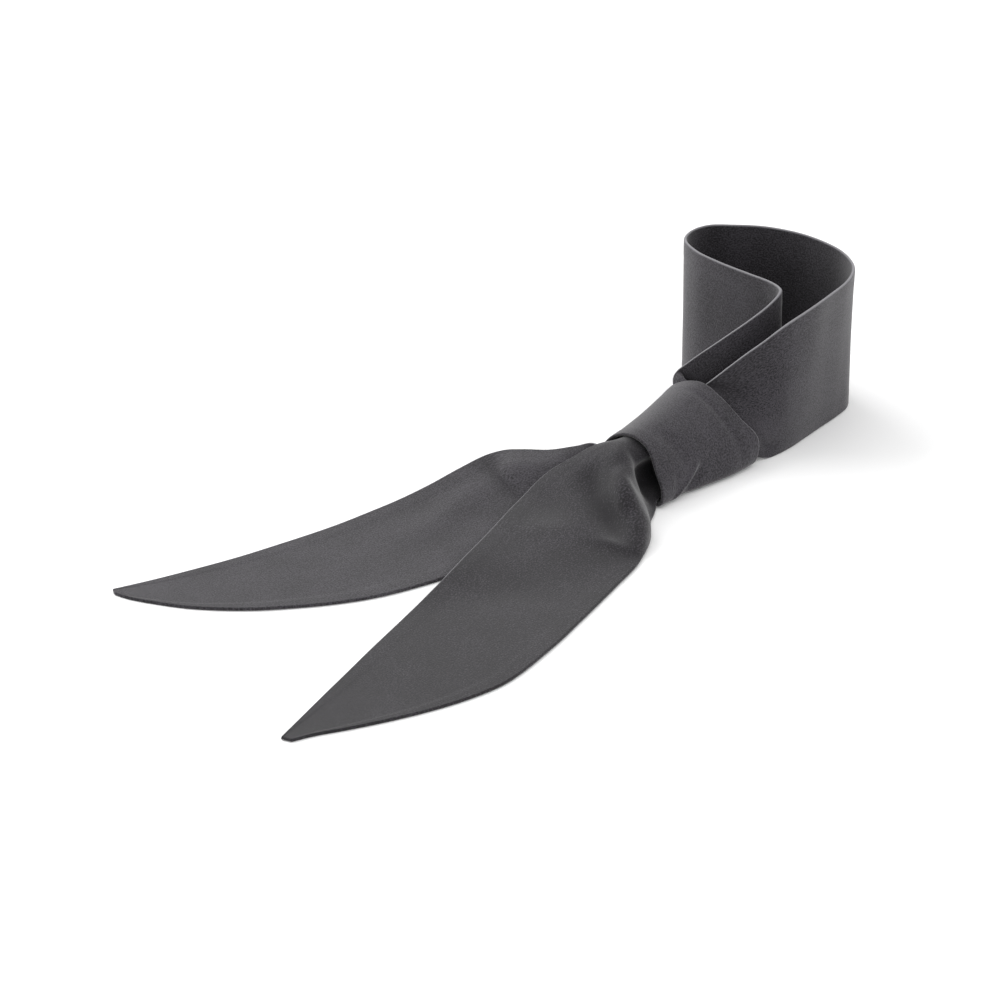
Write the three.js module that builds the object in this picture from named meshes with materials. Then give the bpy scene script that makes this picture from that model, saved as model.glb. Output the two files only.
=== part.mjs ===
// A plain neckerchief tied with one flat knot and laid down: the neck loop stands on its
// long edge behind the knot, and the two pointed tails lie on the surface in front of it.
// Millimetres, +Z up. The tails point to -Y and the neck loop is at +Y.
// It is one strip of double cloth, so its long edge is the top rim of the neck loop and the
// far edge of both tails. The knot is one turn of the same strip around both strands.

import * as THREE from 'three';

// The strip and the way it is tied
const CLOTH = 2;                // two layers of twill and the turned edges between them
const TUCK_GAP = 0.3;           // between strand and tail where they meet inside the knot
const FLAT = CLOTH / 2;         // height of the middle of cloth that lies flat
const KNOT_AT = { x: 39.4, y: 88.3 };  // the knot, from the middle of the whole outline

// The front tail's straight long edge and its slanted end
const FRONT_POINT = { x: 12, y: -304 };
const FRONT_TURN = 13.1;        // degrees between the long edge and -Y
const FRONT_STRAIGHT = 236;     // length of long edge that is dead straight, from the point
const END_LENGTH = 96;          // how far the slanted end reaches along the long edge
const END_BULGE = 1.6;          // 1 is a straight cut; more rounds it out
const WIDTH_AT_END = 68.2;
const WIDTH_AT_KNOT = 73.5;
const POINT_WIDTH = 2.4;        // the turned point is blunt

// Fineness of the faces
const STEP_ALONG = 6.5;
const STEPS_ACROSS = 10;
const KNOT_STEPS_ACROSS = 8;

// Where both strands meet their tails inside the knot. Each section has five named places
// across the strip, from its long edge to its short edge, and so has every section below.
const PLACES = ['rim', 'upper', 'middle', 'lower', 'foot'];
const meetingOver = (y) => ({
  rim: [-12, y, 28.3],
  upper: [-3, y, 29],
  middle: [5.2, y, 23.4],
  lower: [11.8, y, 14],
  foot: [13.2, y, 4.6],
});
const meetingUnder = (y) => ({
  rim: [-18.2, y, 24.2],
  upper: [-23.2, y, 15],
  middle: [-20.6, y, 6.2],
  lower: [-11, y, 3.8],
  foot: [2, y, 3.8],
});

// The right strand, from the knot's mouth outwards and up to the loop
const RIGHT_STRAND = [
  { rim: [-12.4, 17, 29.6], upper: [-2.6, 17, 29.4], middle: [6.8, 17, 22.6],
    lower: [14.6, 17, 13.6], foot: [15.8, 17, 4.2] },
  { rim: [-12.5, 29.8, 30.2], upper: [-2, 30.4, 29.6], middle: [8, 31, 22.4],
    lower: [16.6, 31.8, 13.8], foot: [17.8, 32.4, 3.8] },
  { rim: [-9, 33.6, 32.8], upper: [1.6, 36.4, 32.6], middle: [12.6, 38, 25.4],
    lower: [20, 38.8, 14.8], foot: [20.2, 39, 1.2] },
  { rim: [2.2, 35, 44.4], upper: [10.4, 39.4, 38.3], middle: [17.8, 41.6, 27.5],
    lower: [22, 42.6, 14], foot: [22.6, 43, 0] },
  { rim: [11, 37.8, 53.6], upper: [17.2, 42.4, 43.6], middle: [21.8, 45.4, 30],
    lower: [23.8, 47, 15], foot: [24, 47.6, 0] },
  { rim: [19.2, 40.6, 61.6], upper: [22.8, 45.4, 48], middle: [24.8, 49, 32.5],
    lower: [25, 51.4, 16], foot: [24.6, 52.6, 0] },
  { rim: [27.6, 46.6, 70.6], upper: [27.6, 51, 54.3], middle: [27.2, 54.6, 36.8],
    lower: [26, 57.2, 18.4], foot: [24.9, 58.6, 0] },
];

// The standing loop, right round from the right strand to the inward fold. Each row is a
// place of the foot on the ground, with how far the top rim leans out over it.
const LOOP = [
  { x: 24.6, y: 68, leanX: 8, leanY: -3.4, height: 75.6 },
  { x: 23.8, y: 82, leanX: 7.6, leanY: -1.6, height: 76 },
  { x: 22.6, y: 98, leanX: 5.4, leanY: -0.8, height: 76 },
  { x: 20.6, y: 109.4, leanX: 2.8, leanY: -0.4, height: 76 },
  { x: 15.6, y: 116.6, leanX: 0.8, leanY: -0.6, height: 76 },
  { x: 5.6, y: 121.8, leanX: 0, leanY: 0, height: 76 },
  { x: -8, y: 125.2, leanX: 0, leanY: 0.4, height: 76 },
  { x: -22, y: 125.8, leanX: 0, leanY: 0.6, height: 76 },
  { x: -38, y: 122, leanX: 0, leanY: 0.6, height: 76 },
  { x: -51, y: 115, leanX: -0.4, leanY: 0.8, height: 76 },
  { x: -58.8, y: 106.4, leanX: -0.8, leanY: 0.6, height: 76 },
  { x: -61.2, y: 96.6, leanX: -0.6, leanY: 0.4, height: 76 },
  { x: -58.4, y: 87.4, leanX: -0.4, leanY: 0, height: 76 },
  { x: -47.6, y: 80.8, leanX: -0.4, leanY: -0.4, height: 76 },
  { x: -32, y: 76.8, leanX: 0, leanY: -0.8, height: 76 },
  { x: -15, y: 74.6, leanX: 0, leanY: -0.6, height: 76 },
  { x: 1, y: 72.4, leanX: 0, leanY: 0, height: 76 },
  { x: 9.8, y: 69.6, leanX: -1.6, leanY: 0, height: 76 },
  { x: 13, y: 66.2, leanX: -1.8, leanY: 0, height: 75.8 },
];

// The left strand, from the inward fold down into the knot's mouth
const LEFT_STRAND = [
  { rim: [9.6, 60, 73.2], upper: [11, 60.4, 54.6], middle: [12, 61, 36],
    lower: [12.4, 61.6, 18], foot: [12.6, 62, 0] },
  { rim: [4.4, 51.6, 65.2], upper: [6.6, 52.6, 49], middle: [8.6, 53.8, 32.5],
    lower: [10, 55.2, 16], foot: [11, 56, 0] },
  { rim: [-6.8, 43.2, 54.8], upper: [-3, 44.4, 40], middle: [1, 46.2, 25.5],
    lower: [5, 48, 11.6], foot: [8.4, 49, 0] },
  { rim: [-17.8, 38.4, 43.6], upper: [-14.4, 38.8, 30], middle: [-8.8, 40.4, 17.5],
    lower: [-1.6, 42, 7.4], foot: [5.4, 42.6, 0.4] },
  { rim: [-26.4, 36, 33.4], upper: [-25.2, 35.4, 22], middle: [-19.4, 36, 11],
    lower: [-8.6, 37, 4.4], foot: [3, 37.4, 1.6] },
  { rim: [-24.4, 33, 28.2], upper: [-25.8, 32.4, 18], middle: [-21.8, 32.4, 7.4],
    lower: [-11, 33, 3.8], foot: [2, 33.4, 3.4] },
  { rim: [-20.4, 29.4, 23.8], upper: [-25, 29.4, 16], middle: [-21.6, 29.4, 6.8],
    lower: [-11, 30, 3.8], foot: [2, 30, 3.8] },
  { rim: [-19.6, 16, 24], upper: [-24.2, 16, 15.6], middle: [-21.2, 16, 6.6],
    lower: [-11, 16, 3.8], foot: [2, 16, 3.8] },
];

// The front tail, from the knot's mouth until it lies flat. Its ridge and the hollow beside it
// are the dent that the knot pinches into the cloth.
const FRONT_SPREAD = [
  { rim: [-12.4, -16, 27], upper: [-4, -16, 28.2], middle: [4, -16, 23.4],
    lower: [9.2, -16, 13.8], foot: [11.1, -16, 4.6] },
  { rim: [-13.2, -30.6, 24.8], upper: [-5, -30.6, 27.8], middle: [2.8, -30.6, 24.2],
    lower: [3.6, -30.4, 13.6], foot: [10.2, -30, 3.8] },
  { rim: [-17.6, -35.4, 26.4], upper: [-6.4, -36.4, 29.2], middle: [3.6, -37, 28.2],
    lower: [3.4, -35.4, 14.6], foot: [13.6, -35.6, 1.6] },
  { rim: [-23, -38.6, 23.8], upper: [-9.4, -41.6, 28], middle: [4.4, -43, 29.6],
    lower: [6, -39.6, 13.8], foot: [15.8, -40.4, 1] },
  { rim: [-30.6, -43.4, 17.4], upper: [-13.6, -48.6, 24], middle: [7, -49.4, 28.4],
    lower: [10.8, -45, 12.6], foot: [18.6, -46.8, 1] },
  { rim: [-38.2, -48, 11], upper: [-17.6, -55.6, 18.2], middle: [11.6, -57.4, 25],
    lower: [17.4, -52.6, 10.8], foot: [22.8, -53.4, 1] },
  { rim: [-40.8, -54.6, 7.2], upper: [-20, -63.5, 12.6], middle: [17, -65, 19.2],
    lower: [24, -61, 9.2], foot: [28.6, -61.4, 1] },
  { rim: [-39.8, -66, 5.2], upper: [-18.6, -73, 8.2], middle: [15, -78, 11],
    lower: [26.6, -77, 6.4], foot: [34.6, -74.4, 1] },
];

// The front tail lies on the rear one along its long edge and comes down to the table beyond.
// Each row is a section, by its distance from the point and the height of the cloth's middle.
const FRONT_LAID = [
  { from: 208, rim: 3.7, upper: 3.9, middle: 3.4, lower: 2, foot: FLAT },
  { from: 186, rim: 3.5, upper: 3.6, middle: 1.8, lower: FLAT, foot: FLAT },
  { from: 162, rim: 3.5, upper: 2.2, middle: FLAT, lower: FLAT, foot: FLAT },
  { from: 148, rim: 2.6, upper: 1.3, middle: FLAT, lower: FLAT, foot: FLAT },
  { from: 132, rim: 1.3, upper: FLAT, middle: FLAT, lower: FLAT, foot: FLAT },
  { from: 120, rim: FLAT, upper: FLAT, middle: FLAT, lower: FLAT, foot: FLAT },
];
const END_SECTIONS = [1, 0.86, 0.7, 0.54, 0.38, 0.22, 0.09, 0];   // shares of END_LENGTH

// The rear tail, from the knot's mouth until it has spread to its full width
const REAR_TAIL = [
  { rim: [-17.2, -16, 22.6], upper: [-22.4, -16, 14.6], middle: [-19.4, -16, 6.2],
    lower: [-11, -16, 3.8], foot: [0, -16, 3.8] },
  { rim: [-17.4, -30.4, 20], upper: [-21.8, -30.4, 13.4], middle: [-18.4, -30.6, 6.4],
    lower: [-11, -31, 3.8], foot: [-1, -31, 3.6] },
  { rim: [-24, -33, 19], upper: [-25.2, -34.6, 12.4], middle: [-20.6, -35.6, 6.6],
    lower: [-12, -36.4, 3.4], foot: [-1, -37, 2] },
  { rim: [-35, -34.4, 17.2], upper: [-33.4, -39, 10], middle: [-26, -42.6, 5],
    lower: [-15.6, -45, 2.4], foot: [-2.4, -46.4, 1] },
  { rim: [-46.6, -39.4, 14.4], upper: [-41.6, -46, 7.4], middle: [-32, -50.4, 3.8],
    lower: [-19.6, -53.4, 1.8], foot: [-4.4, -56, 1] },
  { rim: [-58, -44, 12], upper: [-50.4, -51.6, 5.8], middle: [-39, -58, 2.8],
    lower: [-24.4, -62.6, 1.4], foot: [-6, -66, 1] },
  { rim: [-67.6, -47.4, 9.8], upper: [-58, -57, 4.4], middle: [-44.6, -65, 2],
    lower: [-28.4, -71, 1.1], foot: [-8, -76, 1] },
];

// From there to its point: the far and near edge of each section, and how far the far edge is
// still lifted off the table
const REAR_FLAT = [
  { farX: -74.2, farY: -52.6, lift: 7, nearX: -9.6, nearY: -85 },
  { farX: -79.4, farY: -66.4, lift: 4.6, nearX: -12, nearY: -97 },
  { farX: -82.2, farY: -86, lift: 2.6, nearX: -15.4, nearY: -113 },
  { farX: -85.6, farY: -105, lift: 1.4, nearX: -19.4, nearY: -130 },
  { farX: -90, farY: -123.4, lift: 0.5, nearX: -24, nearY: -148 },
  { farX: -94, farY: -139, lift: 0, nearX: -29.4, nearY: -163.6 },
  { farX: -98.6, farY: -156, lift: 0, nearX: -36.6, nearY: -179.4 },
  { farX: -103.4, farY: -172, lift: 0, nearX: -45.8, nearY: -193.8 },
  { farX: -109, farY: -189.4, lift: 0, nearX: -58, nearY: -208.6 },
  { farX: -116.4, farY: -209, lift: 0, nearX: -76, nearY: -226.2 },
  { farX: -124.6, farY: -228.6, lift: 0, nearX: -97.8, nearY: -241 },
  { farX: -130.8, farY: -242, lift: 0, nearX: -116, nearY: -248.6 },
  { farX: -134.6, farY: -249, lift: 0, nearX: -127, nearY: -251.8 },
  { farX: -136, farY: -250.8, lift: 0, nearX: -134.2, nearY: -252.4 },
];

// The turn of the strip that holds the knot: a row for each place round it, and columns from
// the rim beside the tails to the rim beside the neck loop.
const KNOT_PLACES = ['tailRim', 'tailSide', 'waist', 'loopSide', 'loopRim'];
const KNOT_TURN = [
  { tailRim: [-5, -31, 31.4], tailSide: [-5.6, -16, 32], waist: [-6.4, 0, 32.4],
    loopSide: [-7.6, 16, 33.4], loopRim: [-9, 30.4, 34.2] },
  { tailRim: [4.5, -31, 28.1], tailSide: [5, -16, 28.2], waist: [5.5, 0, 28.5],
    loopSide: [4.8, 16, 29.6], loopRim: [3.5, 31, 30.2] },
  { tailRim: [10.9, -31, 17.6], tailSide: [12.4, -16, 17.8], waist: [13.9, 0, 18.6],
    loopSide: [15, 16, 20.6], loopRim: [14.4, 31.8, 22.2] },
  { tailRim: [13.3, -31, 9.2], tailSide: [15, -16, 9], waist: [17.2, 0, 9],
    loopSide: [20.8, 16.6, 10.4], loopRim: [22.6, 33, 11.6] },
  { tailRim: [13.4, -31.6, 2.6], tailSide: [14.4, -16, 2.6], waist: [16.6, 0, 2.6],
    loopSide: [20.6, 17, 2.8], loopRim: [21.8, 33.2, 3.4] },
  { tailRim: [9.6, -31.4, 1], tailSide: [10.6, -16, 1], waist: [12, 0, 1],
    loopSide: [14.6, 16, 1], loopRim: [15.6, 32, 1] },
  { tailRim: [-5, -31, 1], tailSide: [-5, -16, 1], waist: [-5, 0, 1],
    loopSide: [-4.4, 16, 1], loopRim: [-4, 31.6, 1] },
  { tailRim: [-19, -31, 1], tailSide: [-20, -16, 1], waist: [-21, 0, 1],
    loopSide: [-22, 16, 1], loopRim: [-23, 31, 1] },
  { tailRim: [-24.8, -31, 4.6], tailSide: [-25.8, -16, 4.6], waist: [-26.8, 0, 4.6],
    loopSide: [-27.8, 16, 4.6], loopRim: [-28.8, 30.6, 4.8] },
  { tailRim: [-25.6, -31, 14], tailSide: [-26.8, -16, 14], waist: [-27.6, 0, 14],
    loopSide: [-28.6, 15.6, 14.6], loopRim: [-29.6, 30, 15.4] },
  { tailRim: [-17.2, -31, 26.2], tailSide: [-18.6, -16, 26.6], waist: [-20.2, 0, 27],
    loopSide: [-22.4, 15.4, 27], loopRim: [-24.8, 29.8, 27] },
];

// Smooth surfaces through named sections

function lerp(from, to, share) {
  return from + (to - from) * share;
}

function distanceBetween(rowA, rowB, places) {
  const middle = places[Math.floor(places.length / 2)];
  return new THREE.Vector3(...rowA[middle]).distanceTo(new THREE.Vector3(...rowB[middle]));
}

// Share of the way along a rail of rows, with steps of about the same length
function sharesAlong(rows, places, closed) {
  const spans = closed ? rows.length : rows.length - 1;
  const shares = [];
  for (let span = 0; span < spans; span += 1) {
    const length = distanceBetween(rows[span], rows[(span + 1) % rows.length], places);
    const steps = Math.max(1, Math.round(length / STEP_ALONG));
    for (let step = 0; step < steps; step += 1) {
      shares.push((span + step / steps) / spans);
    }
  }
  if (!closed) {
    shares.push(1);
  }
  return shares;
}

// A net of points: the rails run through each named place, and a curve crosses them
function netThrough(rows, places, across, closed = false) {
  const rails = places.map((place) => {
    const points = rows.map((row) => new THREE.Vector3(...row[place]));
    return new THREE.CatmullRomCurve3(points, closed, 'centripetal');
  });
  return sharesAlong(rows, places, closed).map((share) => {
    const section = new THREE.CatmullRomCurve3(rails.map((rail) => rail.getPoint(share)));
    return section.getSpacedPoints(across);
  });
}

// The direction out of the cloth at one point of the net
function normalAt(net, i, j, closed) {
  const count = net.length;
  const before = closed ? net[(i + count - 1) % count] : net[Math.max(i - 1, 0)];
  const after = closed ? net[(i + 1) % count] : net[Math.min(i + 1, count - 1)];
  const last = net[i].length - 1;
  const alongStrip = after[j].clone().sub(before[j]);
  const acrossStrip = net[i][Math.min(j + 1, last)].clone().sub(net[i][Math.max(j - 1, 0)]);
  return alongStrip.cross(acrossStrip).normalize();
}

// Gives the net its thickness: two faces half the cloth to either side and a band round them.
// Nothing reaches below the table.
function clothOver(net, closed = false) {
  const width = net[0].length;
  const count = net.length;
  const positions = [];
  for (const side of [1, -1]) {
    for (let i = 0; i < count; i += 1) {
      for (let j = 0; j < width; j += 1) {
        const point = net[i][j].clone().addScaledVector(normalAt(net, i, j, closed), (side * CLOTH) / 2);
        positions.push(point.x, point.y, Math.max(point.z, 0));
      }
    }
  }
  const at = (side, i, j) => (side * count + (i % count)) * width + j;
  const faces = [];
  const quad = (a, b, c, d) => faces.push(a, b, c, a, c, d);
  const spans = closed ? count : count - 1;
  for (let i = 0; i < spans; i += 1) {
    for (let j = 0; j < width - 1; j += 1) {
      quad(at(0, i, j), at(0, i + 1, j), at(0, i + 1, j + 1), at(0, i, j + 1));
      quad(at(1, i, j), at(1, i, j + 1), at(1, i + 1, j + 1), at(1, i + 1, j));
    }
    quad(at(0, i, 0), at(1, i, 0), at(1, i + 1, 0), at(0, i + 1, 0));
    quad(at(0, i, width - 1), at(0, i + 1, width - 1), at(1, i + 1, width - 1), at(1, i, width - 1));
  }
  if (!closed) {
    for (let j = 0; j < width - 1; j += 1) {
      quad(at(0, 0, j), at(0, 0, j + 1), at(1, 0, j + 1), at(1, 0, j));
      quad(at(0, count - 1, j), at(1, count - 1, j), at(1, count - 1, j + 1), at(0, count - 1, j + 1));
    }
  }
  return outward(positions, faces);
}

// Turns every face round if they all point inwards
function outward(positions, faces) {
  let volume = 0;
  const corner = (index) => new THREE.Vector3().fromArray(positions, index * 3);
  for (let f = 0; f < faces.length; f += 3) {
    volume += corner(faces[f]).dot(corner(faces[f + 1]).cross(corner(faces[f + 2])));
  }
  if (volume < 0) {
    faces.reverse();
  }
  const geometry = new THREE.BufferGeometry();
  geometry.setAttribute('position', new THREE.Float32BufferAttribute(positions, 3));
  geometry.setIndex(faces);
  geometry.computeVertexNormals();
  return geometry;
}

// Sections of the standing loop and of the tails where they lie flat

function standing(row) {
  const section = {};
  PLACES.forEach((place, index) => {
    const up = 1 - index / (PLACES.length - 1);
    section[place] = [row.x + row.leanX * up, row.y + row.leanY * up, row.height * up];
  });
  return section;
}

function widthOfFrontTail(from) {
  if (from >= END_LENGTH) {
    return lerp(WIDTH_AT_END, WIDTH_AT_KNOT, (from - END_LENGTH) / (FRONT_STRAIGHT - END_LENGTH));
  }
  const share = 1 - (1 - from / END_LENGTH) ** END_BULGE;
  return Math.max(WIDTH_AT_END * share, POINT_WIDTH);
}

function frontLaid(from, heights) {
  const turn = THREE.MathUtils.degToRad(FRONT_TURN);
  const width = widthOfFrontTail(from);
  const section = {};
  PLACES.forEach((place, index) => {
    const across = (width * index) / (PLACES.length - 1);
    section[place] = [
      FRONT_POINT.x - from * Math.sin(turn) + across * Math.cos(turn),
      FRONT_POINT.y + from * Math.cos(turn) + across * Math.sin(turn),
      heights[place],
    ];
  });
  return section;
}

function rearFlat(row) {
  const section = {};
  PLACES.forEach((place, index) => {
    const share = index / (PLACES.length - 1);
    section[place] = [
      lerp(row.farX, row.nearX, share),
      lerp(row.farY, row.nearY, share),
      FLAT + row.lift * (1 - share) ** 3,
    ];
  });
  return section;
}

// The pieces

function neckBand() {
  const start = TUCK_GAP / 2;
  const rows = [
    meetingOver(start),
    ...RIGHT_STRAND,
    ...LOOP.map(standing),
    ...LEFT_STRAND,
    meetingUnder(start),
  ];
  return clothOver(netThrough(rows, PLACES, STEPS_ACROSS));
}

function frontTail() {
  const allFlat = { rim: FLAT, upper: FLAT, middle: FLAT, lower: FLAT, foot: FLAT };
  const rows = [
    meetingOver(-TUCK_GAP / 2),
    ...FRONT_SPREAD,
    ...FRONT_LAID.map((row) => frontLaid(row.from, row)),
    ...END_SECTIONS.map((share) => frontLaid(share * END_LENGTH, allFlat)),
  ];
  return clothOver(netThrough(rows, PLACES, STEPS_ACROSS));
}

function rearTail() {
  const rows = [
    meetingUnder(-TUCK_GAP / 2),
    ...REAR_TAIL,
    ...REAR_FLAT.map(rearFlat),
  ];
  return clothOver(netThrough(rows, PLACES, STEPS_ACROSS));
}

function knotWrap() {
  return clothOver(netThrough(KNOT_TURN, KNOT_PLACES, KNOT_STEPS_ACROSS, true), true);
}

// The finish: a plain dark grey twill, a little cool, with no shine

function cloth(colour) {
  return new THREE.MeshStandardMaterial({ color: colour, roughness: 0.85, metalness: 0 });
}

function piece(name, geometry, colour) {
  const mesh = new THREE.Mesh(geometry, cloth(colour));
  mesh.name = name;
  return mesh;
}

const neckerchief = new THREE.Group();
neckerchief.name = 'neckerchief';
neckerchief.add(
  piece('neck_band', neckBand(), 0x4c4b50),
  piece('knot_wrap', knotWrap(), 0x4d4c51),
  piece('front_tail', frontTail(), 0x4e4d52),
  piece('rear_tail', rearTail(), 0x4e4d52),
);
neckerchief.position.set(KNOT_AT.x, KNOT_AT.y, 0);

export default neckerchief;
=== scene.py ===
"""A plain dark grey neckerchief, tied with one flat knot and laid down.

The neck loop stands on its long edge behind the knot, and the two pointed tails lie on the
floor in front of it. It is one strip of double twill: its long edge is the top rim of the
loop and the far edge of both tails.
"""
import math

import bpy
import numpy as np
from bpy.props import FloatProperty, FloatVectorProperty, PointerProperty
from mathutils import Matrix, Vector


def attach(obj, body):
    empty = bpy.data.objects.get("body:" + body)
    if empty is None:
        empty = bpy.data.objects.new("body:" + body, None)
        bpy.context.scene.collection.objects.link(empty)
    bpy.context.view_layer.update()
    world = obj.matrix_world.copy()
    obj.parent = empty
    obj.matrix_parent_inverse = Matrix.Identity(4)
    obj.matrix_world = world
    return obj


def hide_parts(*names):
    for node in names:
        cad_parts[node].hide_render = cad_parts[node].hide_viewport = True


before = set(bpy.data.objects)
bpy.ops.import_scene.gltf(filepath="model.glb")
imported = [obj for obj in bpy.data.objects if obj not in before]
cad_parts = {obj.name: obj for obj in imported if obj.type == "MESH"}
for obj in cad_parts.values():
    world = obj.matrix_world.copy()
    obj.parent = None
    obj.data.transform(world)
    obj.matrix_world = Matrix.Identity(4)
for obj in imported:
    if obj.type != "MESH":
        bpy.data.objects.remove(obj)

bl_info = {
    "name": "Tied neckerchief",
    "version": (1, 0, 0),
    "blender": (4, 5, 0),
    "location": "3D View > Sidebar > Neckerchief",
    "description": "A plain twill neckerchief, tied with one flat knot and laid down",
    "category": "Add Mesh",
}

MM = 0.001
KNOT_AT = np.array((39.4, 88.3, 0.0))  # the knot, from the middle of the whole outline
TUCK_GAP = 0.3                         # between a strand and its tail inside the knot
FLAT = 1.0                             # height in the tables of cloth that lies flat
BAND_WIDTH = 75                        # width of the strip round the neck
WRAP_WIDTH = 64                        # and gathered in the knot
TAIL_WIDTH = 71                        # and in the tails

# How the cloth's net is made
FINE_ALONG = 60                        # trial places for each section along the strip
FINE_ACROSS = 160                      # trial steps across it
STEPS_ACROSS = 44                      # steps across it while the bends are evened out
PASSES = 10                            # how often the bends between sections are evened out
EVEN_SHARES = (0.5, -0.52)             # each time a step in and one back, against shrinking
TURNED = (0, 0.1, 0.3, 0.6, 1, 1.5)    # close places at a turned edge, in half thicknesses
SINK_REACH = 2                         # cloth this far off the floor hardly comes down to it
WAVES = 9                              # slow waves that make up the cloth's wander
WAVE_LENGTH = 46                       # and about how long they are
WANDER_SEED = 11
FREE_HEIGHT = 3                        # cloth this high wanders freely
HELD_SHARE = 0.35                      # share of the wander that cloth on the floor keeps
CREASE_STEPS = 12                      # steps for each place that a crease goes through
CREASE_RISE = 4.5                      # how soon a crease reaches its full height
SEAM_SOFTNESS = 0.55                   # how softly the turned edge's thickness ends
HIGHLIGHT_REACH = 0.55                      # how far the painted edge highlight reaches, in half thicknesses
ROUND_IT = 6                           # how far round a place its raised height is measured
RAISED = 1.6                           # a height that counts as fully raised
HOLLOW_PAINTED_SHADE = 0.32                     # how much darker a full hollow is painted: painted shade
RIDGE_PAINTED_HIGHLIGHT = 0.12                      # how much paler a full ridge is painted: painted highlight

# The tables are in millimetres from the knot, with the tails towards -Y. Each row is one
# section across the strip: rim (the long edge), upper, middle, lower and foot (the short edge).
PLACES = (0, 0.25, 0.5, 0.75, 1)       # shares of the way across for these five


def meeting_over(y):
    """The right strand and the front tail, where they meet inside the knot."""
    return ((-12, y, 28.3), (-3, y, 29), (5.2, y, 23.4), (11.8, y, 14), (13.2, y, 4.6))


def meeting_under(y):
    """The left strand and the rear tail, where they meet inside the knot."""
    return ((-18.2, y, 24.2), (-23.2, y, 15), (-20.6, y, 6.2), (-11, y, 3.8), (2, y, 3.8))


RIGHT_STRAND = (
    ((-12.4, 17, 29.6), (-2.6, 17, 29.4), (6.8, 17, 22.6), (14.6, 17, 13.6), (15.8, 17, 4.2)),
    ((-12.5, 29.8, 30.2), (-2, 30.4, 29.6), (9.4, 31, 23), (18.2, 31.8, 13.8), (19, 32.4, 3.8)),
    ((-9, 33.6, 32.8), (1.6, 36.4, 32.6), (14, 38, 26.2), (21.4, 38.8, 14.8), (21.4, 39, 1.2)),
    ((2.2, 35, 44.4), (10.4, 39.4, 38.3), (18.4, 41.6, 27.8), (22.6, 42.6, 14), (23, 43, 0)),
    ((11, 37.8, 53.6), (17.2, 42.4, 43.6), (21.8, 45.4, 30), (23.8, 47, 15), (24, 47.6, 0)),
    ((19.2, 40.6, 61.6), (22.8, 45.4, 48), (24.8, 49, 32.5), (25, 51.4, 16), (24.6, 52.6, 0)),
    ((27.6, 46.6, 70.6), (27.6, 51, 54.3), (27.2, 54.6, 36.8), (26, 57.2, 18.4), (24.9, 58.6, 0)),
)
LEFT_STRAND = (
    ((9.8, 60, 71.8), (11, 60.4, 54), (12, 61, 36), (12.4, 61.6, 18), (12.6, 62, 0)),
    ((4.4, 51.6, 65.2), (6.6, 52.6, 49), (8.6, 53.8, 32.5), (10, 55.2, 16), (11, 56, 0)),
    ((-7.2, 43.2, 53.6), (-3, 44.4, 39.6), (1, 46.2, 25.5), (5, 48, 11.6), (8.4, 49, 0)),
    ((-20.4, 37.6, 41), (-15, 39, 31), (-8.8, 40.4, 17.5), (-1.6, 42, 7.4), (5.4, 42.6, 0.4)),
    ((-27.6, 35.4, 32.8), (-25, 35.8, 33.4), (-19.4, 36, 15), (-8.6, 37, 4.4), (3, 37.4, 1.6)),
    ((-27, 33, 28), (-20.8, 33.2, 32.6), (-19.8, 32.8, 12), (-11, 33.4, 3.8), (2, 33.4, 3.4)),
    ((-25.2, 31.6, 26), (-17.9, 31.9, 31.2), (-18.8, 31.4, 10.5), (-11, 32, 3.8), (2, 32, 3.6)),
    ((-23, 29.4, 22.5), (-16.4, 29.4, 27), (-18.5, 29.4, 8), (-11, 30, 3.8), (2, 30, 3.8)),
    ((-19.6, 16, 24), (-24.2, 16, 15.6), (-21.2, 16, 6.6), (-11, 16, 3.8), (2, 16, 3.8)),
)
# Seven places across, for the fold that makes the pocket under the knot's mouth
FRONT_SPREAD = (
    (
        (-12.4, -16, 27.4), (-5, -16, 28.8), (0.5, -16, 27.6), (4.2, -16, 23.4),
        (-3, -16, 14.5), (2, -16, 7.5), (11.1, -16, 4.4),
    ),
    (
        (-14.2, -30.4, 27), (-8.4, -30.6, 29.6), (-2.4, -30.6, 28.9), (1.8, -30.6, 24.6),
        (-3.4, -30.4, 16.4), (-0.6, -30.2, 7.2), (10.4, -30, 3.4),
    ),
    (
        (-18.2, -35.2, 26.4), (-10.2, -36, 29.5), (-3.6, -36.8, 29.6), (1, -37, 24.8),
        (-0.6, -35.6, 16.2), (3, -34.8, 6.8), (13.4, -35.4, 1.6),
    ),
    (
        (-23.4, -38.4, 23.8), (-12.8, -41, 26.8), (-3, -42.6, 28.4), (3, -43, 24.8),
        (5, -41, 16.4), (7.6, -39, 7.4), (15.6, -40.2, 1),
    ),
    (
        (-30.6, -43.4, 17.8), (-17.6, -47.2, 21), (-5.2, -49.6, 24), (5.6, -50.2, 23.2),
        (10.4, -47, 15.4), (13.2, -44.8, 7.6), (18.4, -46.6, 1),
    ),
    (
        (-38.2, -48, 11.4), (-22, -54, 14), (-3, -57.6, 18), (14, -57.6, 20),
        (18, -54, 14), (20.2, -51.2, 7), (22.8, -53.2, 1),
    ),
    (
        (-40.2, -56.5, 8.2), (-24, -62.4, 9), (-2, -66, 12.4), (16.4, -66, 12.4),
        (24.8, -62.4, 11.8), (27.6, -60.4, 6.6), (28.8, -61.6, 1),
    ),
    (
        (-39.2, -68.2, 6.2), (-22, -73.4, 6), (0, -77.6, 8), (17, -78.4, 7.6),
        (27, -77.2, 7), (32.8, -75.8, 4.8), (35.2, -74.6, 1),
    ),
)
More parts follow.
